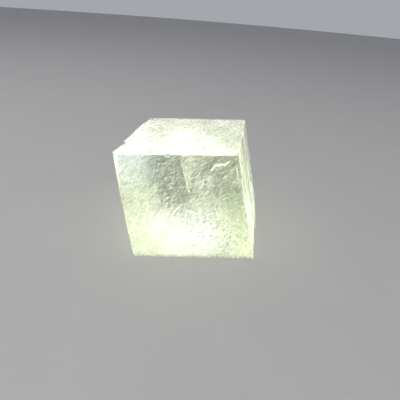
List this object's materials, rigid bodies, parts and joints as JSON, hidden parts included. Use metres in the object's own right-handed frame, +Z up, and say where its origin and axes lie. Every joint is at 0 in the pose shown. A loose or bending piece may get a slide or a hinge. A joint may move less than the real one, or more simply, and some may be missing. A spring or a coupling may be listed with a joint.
{
  "type": "raw optical calcite crystal",
  "caption": "Clear pale-green calcite cleavage rhomb with stepped, lightly chipped faces, standing on a whole cleavage face.",
  "frame": {"origin": "centre of the crystal's bounding box in plan, at the height of the cleavage face it rests on", "axes": "+Z up, away from the rest face; +X along the crystal's width, towards the side its leaning edges lean to at the bottom; +Y towards the back"},
  "size_m": [0.0692, 0.057, 0.0426],
  "materials": {
    "calcite": "polished"
  },
  "bodies": {
    "root": {"calcite_crystal": "calcite"}
  },
  "joints": []
}
